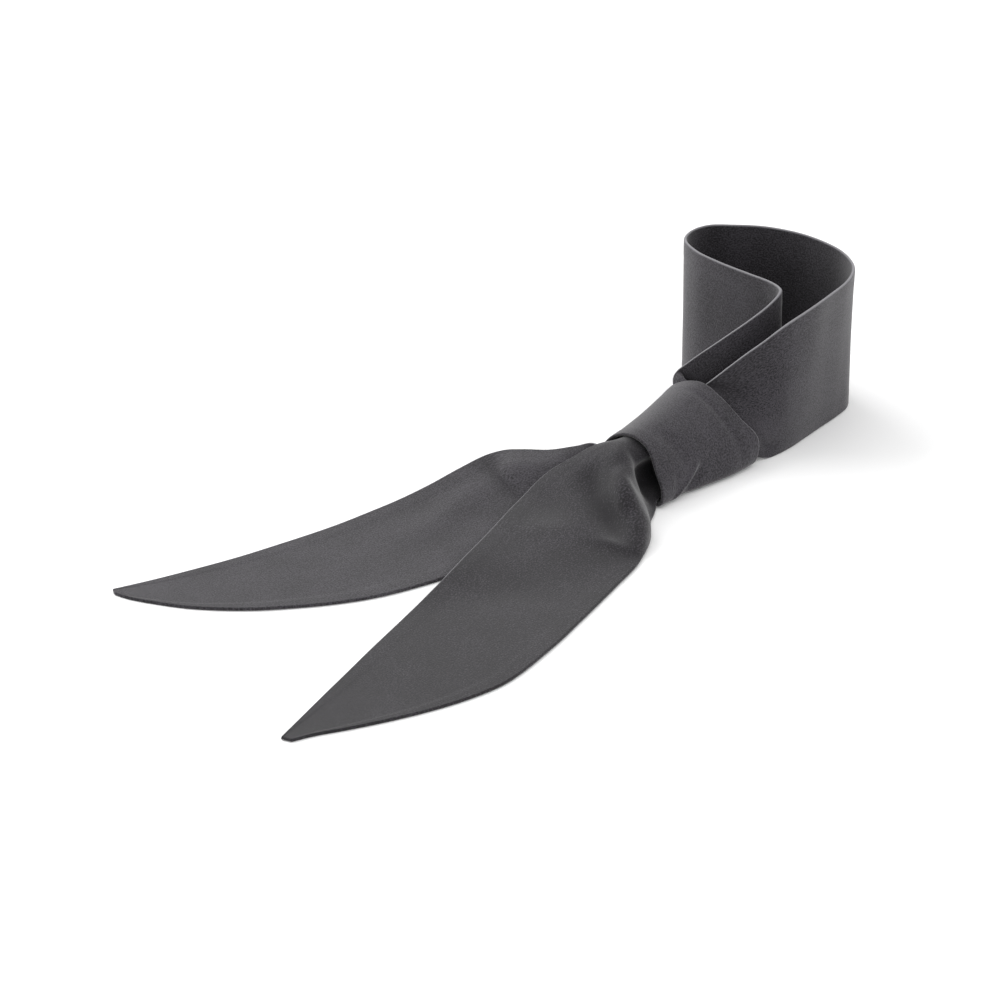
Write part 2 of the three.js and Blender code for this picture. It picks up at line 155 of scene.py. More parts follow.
REAR_TAIL = (
    ((-17.2, -16, 22.6), (-22.4, -16, 14.6), (-19.4, -16, 6.2), (-11, -16, 3.8), (0, -16, 3.8)),
    ((-18, -30.4, 21), (-21.8, -30.4, 13.4), (-18.4, -30.6, 6.4), (-11, -31, 3.8), (-1, -31, 3.6)),
    ((-25.6, -32.4, 23.4), (-25.8, -34.4, 13.8), (-20.6, -35.6, 6.6), (-12, -36.4, 3.4), (-1, -37, 2)),
    ((-37, -31.7, 17.6), (-34.6, -38, 13.2), (-26.6, -42.4, 7.6), (-15.6, -45, 2.4), (-2.4, -46.4, 1)),
    ((-49.8, -35.2, 12.6), (-44, -43.6, 10.4), (-33, -49.6, 6.6), (-19.6, -53.4, 1.8), (-4.4, -56, 1)),
    ((-62, -39.2, 10.4), (-53, -49, 8.8), (-40, -57.4, 5.4), (-24.4, -62.6, 1.4), (-6, -66, 1)),
    ((-71, -43.8, 9), (-59.5, -55.4, 7.4), (-45, -64.6, 3.8), (-28.4, -71, 1.1), (-8, -76, 1)),
)
# Once round the knot, from its top over the right side; across from the tails to the strands
KNOT_TURN = (
    ((-5, -30, 32), (-5.6, -16, 32.3), (-6.4, 0, 32.8), (-7.6, 16, 34), (-9, 30.4, 35.2)),
    ((4.2, -30.8, 28.8), (5, -16, 28.4), (5.5, 0, 28.5), (4.8, 16, 29.6), (3.5, 31, 30.2)),
    ((9.6, -31, 17.8), (12, -16, 17.8), (13.9, 0, 18.6), (15, 16, 20.6), (14.4, 31.7, 22.2)),
    ((13.3, -31, 9.2), (14.8, -16, 9), (17.2, 0, 9), (20.8, 16.6, 10.6), (22.8, 33.4, 14.6)),
    ((13, -31.6, 2.6), (14, -16, 2.6), (17.4, -1, 2.4), (21.2, 17, 2.4), (22.4, 32, 3)),
    ((9.2, -31.4, 1), (10.2, -16, 1), (13.2, -1, 1), (17.2, 18, 1), (18.2, 31, 1)),
    ((-5, -31, 1), (-5, -16, 1), (-5, 0, 1), (-4.4, 16, 1), (-4, 31.6, 1)),
    ((-19, -31, 1), (-20, -16, 1), (-21, 0, 1), (-22, 16, 1), (-23, 31, 1)),
    ((-24.8, -31, 4.6), (-25.8, -16, 4.6), (-26.8, 0, 4.6), (-27.8, 16, 4.6), (-28.8, 30.6, 4.8)),
    ((-25.6, -31, 14), (-26.8, -16, 14), (-27.6, 0, 14), (-28.6, 15.6, 14.6), (-29.6, 30, 15.4)),
    ((-17.6, -28.8, 27.2), (-18.6, -16, 27), (-20.4, 0, 27.4), (-22.8, 15.4, 27.8), (-25.4, 29.8, 28)),
)
# The foot's place, how far the rim leans out over it in x and y, and the rim's height
LOOP = (
    (24.6, 68, 8, -3.4, 75.6),
    (24.2, 82, 7.6, -1.6, 76),
    (23.8, 98, 5.4, -0.8, 76),
    (22.2, 109.6, 2, -0.4, 76),
    (17, 117.2, 0.2, -0.6, 76),
    (6.6, 122.8, 0, 0, 76),
    (-7.6, 125.8, 0, 0.4, 76),
    (-22, 125.8, 0, 0.6, 76),
    (-38, 122, 0, 0.2, 76),
    (-50.4, 114.4, -0.2, 0.2, 76),
    (-59.8, 106.6, -0.6, 0.2, 76),
    (-62.9, 96.8, -0.6, 0.4, 76),
    (-60, 87, -0.4, 0, 76),
    (-48.4, 80.2, -0.4, -0.4, 76),
    (-32, 76.8, 0, -0.8, 76),
    (-15, 74.6, 0, -0.6, 76),
    (1, 72.4, 0, 0, 76),
    (9.8, 69.6, -1.6, 0, 76),
    (13, 66.2, -1.8, 0, 75.8),
)
# The far edge's place and how far it is lifted, then the near edge's place
REAR_FLAT = (
    (-77.3, -50, 6, -9.6, -85),
    (-80.9, -66, 4.6, -12, -97),
    (-83.7, -85.5, 2.6, -15.4, -113),
    (-87.1, -104.5, 1.4, -19.4, -130),
    (-91.5, -123, 0.5, -24, -148),
    (-95.5, -138.6, 0, -29.4, -163.6),
    (-100.1, -155.6, 0, -36.6, -179.4),
    (-104.9, -171.6, 0, -45.8, -193.8),
    (-110.5, -189, 0, -58, -208.6),
    (-117.9, -208.6, 0, -76, -226.2),
    (-126.1, -228.2, 0, -97.8, -241),
    (-132.3, -241.6, 0, -116, -248.6),
    (-135.7, -248.7, 0, -127, -251.8),
    (-136.6, -250.6, 0, -134.2, -252.4),
)
# Distance from the point, then the height of the five places across
FRONT_LAID = (
    (208, 5.2, 4.8, 5, 4, FLAT),
    (186, 4.8, 3.8, 2.6, 1.8, FLAT),
    (162, 4.2, 2.3, FLAT, FLAT, FLAT),
    (148, 2.9, 1.3, FLAT, FLAT, FLAT),
    (132, 1.3, FLAT, FLAT, FLAT, FLAT),
    (120, FLAT, FLAT, FLAT, FLAT, FLAT),
)

# The front tail's long edge and its slanted end
FRONT_POINT = (12, -304)
FRONT_TURN = 13.1        # degrees between the long edge and -Y
END_LENGTH = 96          # how far the slanted end reaches along the long edge
END_BULGE = 1.55         # 1 is a straight cut; more rounds it out
WIDTH_AT_END = 68.8
# Distance from the point, and the width there
FRONT_WIDTHS = ((END_LENGTH, WIDTH_AT_END), (110, 70.9), (132, 72.7), (162, 74.2), (236, 76.8))
FRONT_BOW = 2.3          # how far the long edge bows out at its point
BOW_LENGTH = 130         # how far from the point the bow reaches
POINT_WIDTH = 2.4        # the turned point is blunt
DRAWN_IN = 0.8           # how far the long edge draws in for each millimetre that it is lifted
END_SECTIONS = (1, 0.86, 0.7, 0.54, 0.38, 0.22, 0.09, 0)  # shares of END_LENGTH

# Soft lines in the cloth: places (along the strip, across it), height and width, all in
# millimetres
BAND_CREASES = ((((39, 62), (43, 65), (47, 67)), 1.5, 5),)
FRONT_CREASES = (
    (((32, 16), (36, 23), (40, 31)), -0.9, 4),
    (((58, 22), (64, 28), (70, 35), (76, 44), (82, 53), (87, 61)), -3.6, 7),
    (((48, 38), (56, 41), (66, 48), (77, 57), (84, 65)), 1.3, 4),
)
REAR_CREASES = (
    (((46, 17), (62, 17), (84, 18), (104, 22), (122, 27), (140, 32)), 1.3, 10),
    (((50, 40), (66, 41), (82, 42), (98, 43.5)), -0.3, 8),
)
KNOT_CREASES = (
    (((-2, 54), (10, 53.6), (24, 53), (34, 52), (42, 51)), -0.45, 2.2),
    (((30.5, 26.5), (33, 23), (36.8, 18.6), (41, 13), (45, 8.5)), 1.15, 1.1),
    (((32.5, 29), (37, 23.5), (42, 18)), -1.3, 3),
    (((9, 13), (19, 17), (28, 21.5)), -0.9, 4.6),
    (((31, 12), (37, 10)), -0.4, 2),
)


# Smooth surfaces through the sections


def smooth_curve(points, shares, closed=False):
    """Points at shares of the way along a smooth curve through the points, or along many
    curves at once: the first axis runs along the curves."""
    points = np.asarray(points, float)
    spans = len(points) if closed else len(points) - 1
    if closed:
        padded = np.concatenate([points[-1:], points, points[:2]])
    else:
        padded = np.concatenate([2 * points[:1] - points[1:2], points, 2 * points[-1:] - points[-2:-1]])
    gaps = np.linalg.norm(np.diff(padded, axis=0), axis=-1, keepdims=True) ** 0.5
    gaps = np.maximum(gaps, 1e-3)
    places = np.asarray(shares, float) * spans
    span = np.clip(np.floor(places).astype(int), 0, spans - 1)
    share = (places - span).reshape((-1,) + (1,) * (points.ndim - 1))
    before, start, end, after = (padded[span + k] for k in range(4))
    gap_before, gap, gap_after = (gaps[span + k] for k in range(3))
    leave = (start - before) / gap_before - (end - before) / (gap_before + gap) + (end - start) / gap
    arrive = (end - start) / gap - (after - start) / (gap + gap_after) + (after - end) / gap_after
    leave, arrive = leave * gap, arrive * gap
    square = -3 * start + 3 * end - 2 * leave - arrive
    cube = 2 * start - 2 * end + leave + arrive
    return start + leave * share + square * share**2 + cube * share**3


def across_places(row, count):
    """The same section with another number of places across it."""
    return smooth_curve(row, np.linspace(0, 1, count))


def running_length(points):
    """Distance from the first point along the first axis."""
    steps = np.linalg.norm(np.diff(points, axis=0), axis=-1)
    return np.concatenate([np.zeros((1,) + steps.shape[1:]), np.cumsum(steps, axis=0)])


def even_net(rows, step, across, closed=False):
    """A net of points through the sections, in even steps along the strip and across it."""
    rows = np.asarray(rows, float)
    dense = np.linspace(0, 1, FINE_ALONG * len(rows) + 1)
    run = running_length(smooth_curve(rows[:, rows.shape[1] // 2], dense, closed))
    steps = max(4, round(run[-1] / step))
    along = np.interp(np.linspace(0, run[-1], steps + 1), run, dense)
    if closed:
        along = along[:-1]
    rails = smooth_curve(rows, along, closed)
    fine = smooth_curve(rails.transpose(1, 0, 2), np.linspace(0, 1, FINE_ACROSS + 1))
    reach = running_length(fine)
    net = np.empty((len(along), across + 1, 3))
    for i in range(len(along)):
        evenly = np.linspace(0, reach[-1, i], across + 1)
        for axis in range(3):
            net[i, :, axis] = np.interp(evenly, reach[:, i], fine[:, i, axis])
    return net


def neighbours(net, closed):
    """The net's rows one step before and one step after each row."""
    if closed:
        return np.roll(net, 1, axis=0), np.roll(net, -1, axis=0)
    return np.concatenate([net[:1], net[:-1]]), np.concatenate([net[1:], net[-1:]])


def evened(net, share, closed):
    """The net with each place a share nearer to the middle of its neighbours, or farther from
    it. The two ends of an open net keep their places along the strip."""
    before, after = neighbours(net, closed)
    pull = (before + after) / 2 - net
    if not closed:
        pull[0], pull[-1] = 0, 0
    net = net + share * pull
    net[:, 1:-1] += share * ((net[:, :-2] + net[:, 2:]) / 2 - net[:, 1:-1])
    return net


def relaxed(net, closed):
    """Evens out the bends between sections without making the cloth shrink."""
    for _ in range(PASSES):
        for share in EVEN_SHARES:
            net = evened(net, share, closed)
    return net


def out_of(net, closed):
    """The direction out of the cloth at each point."""
    before, after = neighbours(net, closed)
    across = np.gradient(net, axis=1)
    out = np.cross(after - before, across)
    return out / np.maximum(np.linalg.norm(out, axis=-1, keepdims=True), 1e-9)


def raised(net, out, step, closed):
    """How far each place stands above the cloth round it, from -1 in a hollow to 1 on a
    ridge."""
    soft = net
    for _ in range(round(2 * (ROUND_IT / step) ** 2)):
        soft = evened(soft, 0.5, closed)
    return np.clip(np.sum((net - soft) * out, axis=-1) / RAISED, -1, 1)


def drift(points, size):
    """A slow, smooth wander of the cloth in space. Layers that lie together move together."""
    chance = np.random.default_rng(WANDER_SEED)
    moved = np.zeros(points.shape)
    for _ in range(WAVES):
        way = chance.normal(size=3)
        way /= np.linalg.norm(way)
        length = WAVE_LENGTH * chance.uniform(0.7, 1.7)
        lean = chance.normal(size=3)
        lean /= np.linalg.norm(lean)
        start = chance.uniform(0, 6.28)
        moved += lean * np.sin(2 * math.pi * (points @ way) / length + start)[..., None]
    return moved * size / math.sqrt(WAVES)


def edge_shares(width, across, edge):
    """Shares of the way across the strip, with close steps at its two turned edges."""
    turned = np.array(TURNED) * edge / width
    inner = np.linspace(turned[-1], 1 - turned[-1], across + 1)[1:-1]
    return np.concatenate([turned, inner, 1 - turned[::-1]])


def turned_edge(distance, edge):
    """Share of the thickness at a distance from a turned edge, which is round."""
    near = np.clip(distance / edge, 0, 1)
    return np.sqrt(np.clip(1 - (1 - near) ** 2, 0, 1))


def crease(u, v, path, depth, width, closed_at=None):
    """Height at each place of a soft line through the places (along, across) in path. It is
    highest halfway and fades out towards both ends."""
    points = smooth_curve(np.array(path, float), np.linspace(0, 1, CREASE_STEPS * len(path)))
    shares = np.linspace(0, 1, len(points))
    fade = np.sqrt(np.clip(CREASE_RISE * shares * (1 - shares), 0, 1))
    height = np.zeros(u.shape)
    for move in (0,) if closed_at is None else (-closed_at, 0, closed_at):
        for (at_u, at_v), strength in zip(points, fade):
            near = np.hypot(u + move - at_u, v - at_v)
            height = np.maximum(height, strength * np.exp(-((near / width) ** 2)))
    return depth * height


# One strip of cloth


def middle_of(rows, sizes, width, step, closed, lying):
    """The middle of the cloth as a net, and the shares of the way across of its columns."""
    edge = sizes.thickness / MM / 2
    base = relaxed(even_net(rows, step, STEPS_ACROSS, closed), closed)
    shares = edge_shares(width, round(width / step), edge)
    net = smooth_curve(base.transpose(1, 0, 2), shares).transpose(1, 0, 2)
    if not closed:
        run = running_length(net[:, net.shape[1] // 2])
        ends = np.array(TURNED[1:-1]) * edge
        stops = np.unique(np.concatenate([run, ends, run[-1] - ends]))
        net = smooth_curve(net, np.interp(stops, run, np.linspace(0, 1, len(run))))
    if lying:
        off_floor = np.maximum(net[..., 2] - FLAT, 0)
        net[..., 2] -= (FLAT - edge) * np.exp(-off_floor / SINK_REACH)
    freedom = np.clip(net[..., 2:] / FREE_HEIGHT, HELD_SHARE, 1)
    return net + drift(net, sizes.wander / MM) * freedom, shares


def half_thickness(sizes, inside, from_end):
    """Half the thickness of the cloth: most within the turned edges, and none at its rim."""
    edge = sizes.thickness / MM / 2
    double = 1 / (1 + np.exp((inside - sizes.seam_width / MM) / SEAM_SOFTNESS))
    half = edge * (1 - sizes.seam_rise + sizes.seam_rise * double)
    return half * turned_edge(inside, edge) * turned_edge(from_end, edge)


def strip(
    name, rows, sizes, width, creases=(), closed=False, lying=True, fineness=1, highlight_edge=0, painted_piece_shade=0
):
    """A closed piece of double cloth through the sections, with round turned edges. fineness is its
    share of the usual step, highlight_edge says how far across it the edge with the painted highlight
    is, and painted_piece_shade how much paler than the plain twill the whole piece is painted, as
    painted shade for how light falls on that piece. Its hollows are painted darker as painted shade and
    its ridges paler as a painted highlight."""
    step = sizes.step / MM * fineness
    net, shares = middle_of(rows, sizes, width, step, closed, lying)
    turn = np.concatenate([net, net[:1]]) if closed else net
    run = running_length(turn[:, turn.shape[1] // 2])
    run_length = run[-1]
    u_all, v_all = np.meshgrid(run, shares * width, indexing="ij")
    u, v = u_all[:len(net)], v_all[:len(net)]
    out = out_of(net, closed)
    for path, depth, spread in creases:
        line = crease(u, v, path, depth, spread, run_length if closed else None)
        net = net + out * line[..., None]
    out = out_of(net, closed)
    from_end = np.full(u.shape, np.inf) if closed else np.minimum(u, run_length - u)
    half = half_thickness(sizes, np.minimum(v, width - v), from_end)
    upper = net + out * half[..., None]
    lower = net - out * half[..., None]
    made, used = cloth_mesh(name, upper, lower, half > 1e-6, u_all, v_all, closed)
    # a painted highlight along one turned edge
    reach = sizes.thickness / MM / 2 * HIGHLIGHT_REACH
    near = np.exp(-(((v - highlight_edge) / reach) ** 2)).reshape(-1)
    high = raised(net, out, step, closed).reshape(-1)
    stands = np.concatenate([high, -high])
    # painted shade: hollows darker, and each whole piece by its own share; painted highlight: ridges
    # paler
    tone = painted_piece_shade + stands * np.where(stands > 0, RIDGE_PAINTED_HIGHLIGHT, HOLLOW_PAINTED_SHADE)
    for kind, values in (("turned_edge", np.concatenate([near, near])), ("tone", tone)):
        kept = made.data.attributes.new(kind, "FLOAT", "POINT")
        kept.data.foreach_set("value", values[used])
    return made


def cloth_mesh(name, upper, lower, open_here, u, v, closed):
    """Joins the two faces of the cloth along its turned edges. Also gives the numbers of the
    points that it uses."""
    rows, columns = upper.shape[:2]
    top = np.arange(rows * columns).reshape(rows, columns)
    bottom = np.where(open_here, top + rows * columns, top)
    points = np.concatenate([upper.reshape(-1, 3), lower.reshape(-1, 3)])
    points[:, 2] = np.maximum(points[:, 2], 0)
    spans = rows if closed else rows - 1
    here = np.arange(spans)
    there = (here + 1) % rows
    quads, corners = [], []
    for side, ids in ((0, top), (1, bottom)):
        ring = [ids[here][:, :-1], ids[there][:, :-1], ids[there][:, 1:], ids[here][:, 1:]]
        along = [u[here][:, :-1], u[here + 1][:, :-1], u[here + 1][:, 1:], u[here][:, 1:]]
        over = [v[here][:, :-1], v[here + 1][:, :-1], v[here + 1][:, 1:], v[here][:, 1:]]
        if side:
            ring, along, over = ring[::-1], along[::-1], over[::-1]
        quads.append(np.stack(ring, -1).reshape(-1, 4))
        corners.append(np.stack([np.stack(along, -1), np.stack(over, -1)], -1).reshape(-1, 4, 2))
    quads, corners = np.concatenate(quads), np.concatenate(corners)
    a, b, c, d = (points[quads[:, k]] for k in range(4))
    volume = np.einsum("ij,ij->", a, np.cross(b, c)) + np.einsum("ij,ij->", a, np.cross(c, d))
    if volume < 0:
        quads, corners = quads[:, ::-1], corners[:, ::-1]
    used = np.unique(quads)
    renumber = np.zeros(len(points), int)
    renumber[used] = np.arange(len(used))
    mesh = bpy.data.meshes.new(name)
    mesh.from_pydata(((points[used] + KNOT_AT) * MM).tolist(), [], renumber[quads].tolist())
    mesh.uv_layers.new(name="Cloth").uv.foreach_set("vector", (corners * MM).reshape(-1))
    mesh.shade_smooth()
    mesh.update()
    made = bpy.data.objects.new(name, mesh)
    bpy.context.scene.collection.objects.link(made)
    return made, used


# Sections of the standing loop and of the tails where they lie flat


def standing(row):
    """A section of the loop: its foot on the floor and its rim leaning out over it."""
    x, y, lean_x, lean_y, height = row
    return [(x + lean_x * up, y + lean_y * up, height * up) for up in reversed(PLACES)]


def front_width(start):
    """Width of the front tail at a distance from its point."""
    if start >= END_LENGTH:
        return float(np.interp(start, *zip(*FRONT_WIDTHS)))
    return max(WIDTH_AT_END * (1 - (1 - start / END_LENGTH) ** END_BULGE), POINT_WIDTH)


def front_laid(start, heights):
    """A section of the front tail where it lies on the rear one or on the floor."""
    turn = math.radians(FRONT_TURN)
    width = front_width(start)
    bow = FRONT_BOW * max(0, 1 - (start / BOW_LENGTH) ** 2)
    drawn_in = ((heights[0] - FLAT) * DRAWN_IN - bow) / width
    return [
        (
            FRONT_POINT[0] - start * math.sin(turn) + width * share * math.cos(turn),
            FRONT_POINT[1] + start * math.cos(turn) + width * share * math.sin(turn),
            height,
        )
        for share, height in zip((drawn_in, *PLACES[1:]), heights)
    ]


def rear_flat(row):
    """A section of the rear tail where it has spread to its full width."""
    far_x, far_y, lift, near_x, near_y = row
    return [
        (
            far_x + (near_x - far_x) * share,
            far_y + (near_y - far_y) * share,
            FLAT + lift * (1 - share) ** 3,
        )
        for share in PLACES
    ]


# The cloth's finish

RIB_LEAN = 0.35           # how far the ribs lean away from the strip's length
RIB_STRETCH = (0.5, 1.6)  # how finely they change along themselves and across
EDGE_HIGHLIGHT_SHARE = 0.9           # how much of the pale painted highlight colour shows on the turned edge


class Number:
    """One number of a material's nodes, for use in Python expressions."""

    def __init__(self, paint, socket):
        self.paint = paint
        self.socket = socket

    def _math(self, operation, first, second):
        made = self.paint.node("ShaderNodeMath", {"operation": operation}, {0: first, 1: second})
        return Number(self.paint, made.outputs[0])

    def __add__(self, other):
        return self._math("ADD", self, other)

    __radd__ = __add__

    def __sub__(self, other):
        return self._math("SUBTRACT", self, other)

    def __rsub__(self, other):
        return self._math("SUBTRACT", other, self)

    def __mul__(self, other):
        return self._math("MULTIPLY", self, other)

    __rmul__ = __mul__


class Paint:
    """The nodes of one material."""

    def __init__(self, material):
        material.use_nodes = True
        self.tree = material.node_tree
        self.tree.nodes.clear()

    def node(self, kind, settings=None, values=None):
        """Adds a node: its settings first, then what its sockets hold or are linked to."""
        made = self.tree.nodes.new(kind)
        for name, value in (settings or {}).items():
            if name == "stops":
                self.set_stops(made.color_ramp.elements, value)
            else:
                setattr(made, name, value)
        for key, value in (values or {}).items():
            socket = value.socket if isinstance(value, Number) else value
            if isinstance(socket, bpy.types.NodeSocket):
                self.tree.links.new(socket, made.inputs[key])
            else:
                made.inputs[key].default_value = socket
        return made

    def set_stops(self, elements, stops):
        """Gives a ramp its stops."""
        while len(elements) > 1:
            elements.remove(elements[-1])
        elements[0].position, elements[0].color = stops[0]
        for place, colour in stops[1:]:
            elements.new(place).color = colour

    def noise(self, place, scale, detail):
        """An uneven value that changes from place to place."""
        values = {"Vector": place, "Scale": scale, "Detail": detail}
        return Number(self, self.node("ShaderNodeTexNoise", None, values).outputs[0])

    def kept(self, name):
        """A value that the strip's points hold."""
        return Number(self, self.node("ShaderNodeAttribute", {"attribute_name": name}).outputs[2])

    def mix(self, share, first, second):
        """A colour between two colours."""
        made = self.node("ShaderNodeMix", {"data_type": "RGBA"}, {0: share, 6: first, 7: second})
        return made.outputs[2]


def twill(name, colours, sizes):
    """Dark grey twill: fine slanting ribs, a little uneven, with hardly any shine."""
    material = bpy.data.materials.new(name)
    paint = Paint(material)
    weave = paint.node("ShaderNodeUVMap", {"uv_map": "Cloth"}).outputs[0]
    place = paint.node("ShaderNodeTexCoord").outputs["Object"]
    parts = paint.node("ShaderNodeSeparateXYZ", None, {0: weave})
    along, across = Number(paint, parts.outputs[0]), Number(paint, parts.outputs[1])
    rib_length, rib_width = (share / sizes.rib for share in RIB_STRETCH)
    slant = paint.node(
        "ShaderNodeCombineXYZ",
        None,
        {0: (along + across * RIB_LEAN) * rib_length, 1: (across - along * RIB_LEAN) * rib_width},
    )
    rib = paint.noise(slant.outputs[0], 1.0, 2.0)
    grain = paint.noise(weave, 1300.0, 2.0)
    patchy = paint.noise(weave, 330.0, 1.0)
    cloudy = paint.noise(place, 38.0, 4.0)
    # the points' painted shade and painted highlight, then the twill's random tone
    tone = 0.5 + paint.kept("tone")
    for uneven, share in ((cloudy, 1.0), (grain, 3.6), (patchy, 0.6), (rib, 0.4)):
        tone = tone + (uneven - 0.5) * share
    stops = [(0, (*colours.shade, 1)), (1, (*colours.light, 1))]
    ramp = paint.node("ShaderNodeValToRGB", {"stops": stops}, {0: tone})
    # a painted highlight in a pale colour along one turned edge
    edge_highlight = paint.kept("turned_edge") * EDGE_HIGHLIGHT_SHARE
    colour = paint.mix(edge_highlight, ramp.outputs[0], (*colours.edge_highlight, 1))
    bump = paint.node(
        "ShaderNodeBump", None, {"Strength": 0.5, "Distance": 0.0003, "Height": rib * 0.6 + grain}
    )
    shader = paint.node(
        "ShaderNodeBsdfPrincipled",
        None,
        {
            "Base Color": colour,
            "Roughness": 0.72 + cloudy * 0.2,
            "Normal": bump.outputs[0],
            "Specular IOR Level": 0.25,
            "Sheen Weight": 0.3,
            "Sheen Roughness": 0.45,
        },
    )
    paint.node("ShaderNodeOutputMaterial", None, {"Surface": shader.outputs[0]})
    return material


# What a user may change


class ClothSizes(bpy.types.PropertyGroup):
    """Sizes of the cloth."""

    thickness: FloatProperty(
        name="Thickness", description="Two layers of twill with the turned edge between them",
        default=0.0016, min=0.001, max=0.003, unit="LENGTH",
    )
    step: FloatProperty(
        name="Step", description="Distance between the points of the net",
        default=0.0011, min=0.0008, max=0.008, unit="LENGTH",
    )
    seam_width: FloatProperty(
        name="Seam width", description="How far the turned edge reaches into the strip",
        default=0.0085, min=0.004, max=0.015, unit="LENGTH",
    )
    seam_rise: FloatProperty(
        name="Seam rise", description="Share of the thickness that only the turned edge has",
        default=0.16, min=0, max=0.5, subtype="FACTOR",
    )
    wander: FloatProperty(
        name="Wander", description="How far the soft cloth strays from its smooth shape",
        default=0.0003, min=0, max=0.002, unit="LENGTH",
    )
    rib: FloatProperty(
        name="Rib", description="Distance from one slanting rib of the twill to the next",
        default=0.0009, min=0.0003, max=0.003, unit="LENGTH",
    )


class ClothColours(bpy.types.PropertyGroup):
    """Colours of the cloth and the floor."""

    shade: FloatVectorProperty(
        name="Shade", description="Darker threads of the twill",
        default=(0.0095, 0.0084, 0.0103), min=0, max=1, subtype="COLOR",
    )
    light: FloatVectorProperty(
        name="Light", description="Lighter threads of the twill",
        default=(0.0523, 0.0482, 0.0562), min=0, max=1, subtype="COLOR",
    )
    edge_highlight: FloatVectorProperty(
        name="Edge highlight", description="Painted highlight on the turned edges",
        default=(0.21, 0.205, 0.218), min=0, max=1, subtype="COLOR",
    )
    floor: FloatVectorProperty(
        name="Floor", description="Plain pale floor",
        default=(0.93, 0.93, 0.93), min=0, max=1, subtype="COLOR",
    )


class StageSettings(bpy.types.PropertyGroup):
    """Camera and light."""

    turn: FloatProperty(
        name="Turn", description="Camera's angle round the neckerchief",
        default=math.radians(38), subtype="ANGLE",
    )
    rise: FloatProperty(
        name="Rise", description="Camera's angle above the floor",
        default=math.radians(28), subtype="ANGLE",
    )
    distance: FloatProperty(
        name="Distance", description="From the camera to what it looks at",
        default=2.368, min=0.5, unit="LENGTH",
    )
    lens: FloatProperty(
        name="Lens", description="Focal length in millimetres",
        default=180, min=20, subtype="DISTANCE_CAMERA",
    )
    sky: FloatProperty(name="Sky", description="Light from all round", default=0.54, min=0)
    key: FloatProperty(
        name="Power", description="Watts of a soft light with a share of one",
        default=46, min=0, subtype="POWER",
    )


# The pieces


def dressed(piece, node):
    """Gives a finished piece its finish and its place in the frame."""
    scene = bpy.context.scene
    finish = bpy.data.materials.get("grey twill") or twill(
        "grey twill", scene.neckerchief_colours, scene.neckerchief_cloth
    )
    piece.data.materials.append(finish)
    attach(piece, "root")
    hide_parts(node)


class NECKERCHIEF_OT_neck_band(bpy.types.Operator):
    """Makes the loop that goes round the neck, with the two strands that enter the knot"""

    bl_idname = "neckerchief.neck_band"
    bl_label = "Neck band"

    def execute(self, context):
        gap = TUCK_GAP / 2
        rows = [
            meeting_over(gap),
            *RIGHT_STRAND,
            *map(standing, LOOP),
            *LEFT_STRAND,
            meeting_under(gap),
        ]
        sizes = context.scene.neckerchief_cloth
        band = strip("twill_neck_band", rows, sizes, BAND_WIDTH, BAND_CREASES, lying=False)
        dressed(band, "neck_band")
        return {"FINISHED"}


class NECKERCHIEF_OT_knot_wrap(bpy.types.Operator):
    """Makes the turn of the strip that holds the knot"""

    bl_idname = "neckerchief.knot_wrap"
    bl_label = "Knot wrap"

    def execute(self, context):
        sizes = context.scene.neckerchief_cloth
        wrap = strip(
            "twill_knot_wrap", KNOT_TURN, sizes, WRAP_WIDTH, KNOT_CREASES,
            # a painted highlight along one turned edge of the wrap, and a little painted shade over the
            # whole wrap
            closed=True, fineness=0.6, highlight_edge=WRAP_WIDTH, painted_piece_shade=-0.03,
        )
        dressed(wrap, "knot_wrap")
        return {"FINISHED"}


class NECKERCHIEF_OT_front_tail(bpy.types.Operator):
    """Makes the tail that leaves the knot in front, over the other one"""

    bl_idname = "neckerchief.front_tail"
    bl_label = "Front tail"

    def execute(self, context):
        on_floor = (FLAT,) * len(PLACES)
        laid = [
            *[front_laid(row[0], row[1:]) for row in FRONT_LAID],
            *[front_laid(share * END_LENGTH, on_floor) for share in END_SECTIONS],
        ]
        places = len(FRONT_SPREAD[0])
        rows = [
            across_places(meeting_over(-TUCK_GAP / 2), places),
            *FRONT_SPREAD,
            *[across_places(row, places) for row in laid],
        ]
        sizes = context.scene.neckerchief_cloth
        # painted shade makes the whole front tail darker
        tail = strip("twill_front_tail", rows, sizes, TAIL_WIDTH, FRONT_CREASES, painted_piece_shade=-0.45)
        dressed(tail, "front_tail")
        return {"FINISHED"}


class NECKERCHIEF_OT_rear_tail(bpy.types.Operator):
    """Makes the tail that leaves the knot under the front one"""

    bl_idname = "neckerchief.rear_tail"
    bl_label = "Rear tail"

    def execute(self, context):
        rows = [meeting_under(-TUCK_GAP / 2), *REAR_TAIL, *map(rear_flat, REAR_FLAT)]
        sizes = context.scene.neckerchief_cloth
        # a little painted shade over the whole rear tail
        tail = strip("twill_rear_tail", rows, sizes, TAIL_WIDTH, REAR_CREASES, painted_piece_shade=-0.06)
        dressed(tail, "rear_tail")
        return {"FINISHED"}


# The stage, in metres
FLOOR_REACH = 6.0
FLOOR_DROP = 0.0002               # the floor lies just under the cloth
LAMP_SIZE = 2.4
LOOKED_AT = (-0.0126, 0.0173, 0)  # the place that the camera looks at
SENSOR = 36                       # the camera's sensor in millimetres

# The soft lights: place, and share of the power
SOFT_LIGHTS = (
    ("left light", (-1.9, -0.15, 1.3), 1.25),
    ("top light", (0, 0, 2.3), 0.44),
    ("right light", (1.9, -0.9, 1.0), 0.42),
    ("back light", (1.4, 1.4, 1.2), 0.3),
)


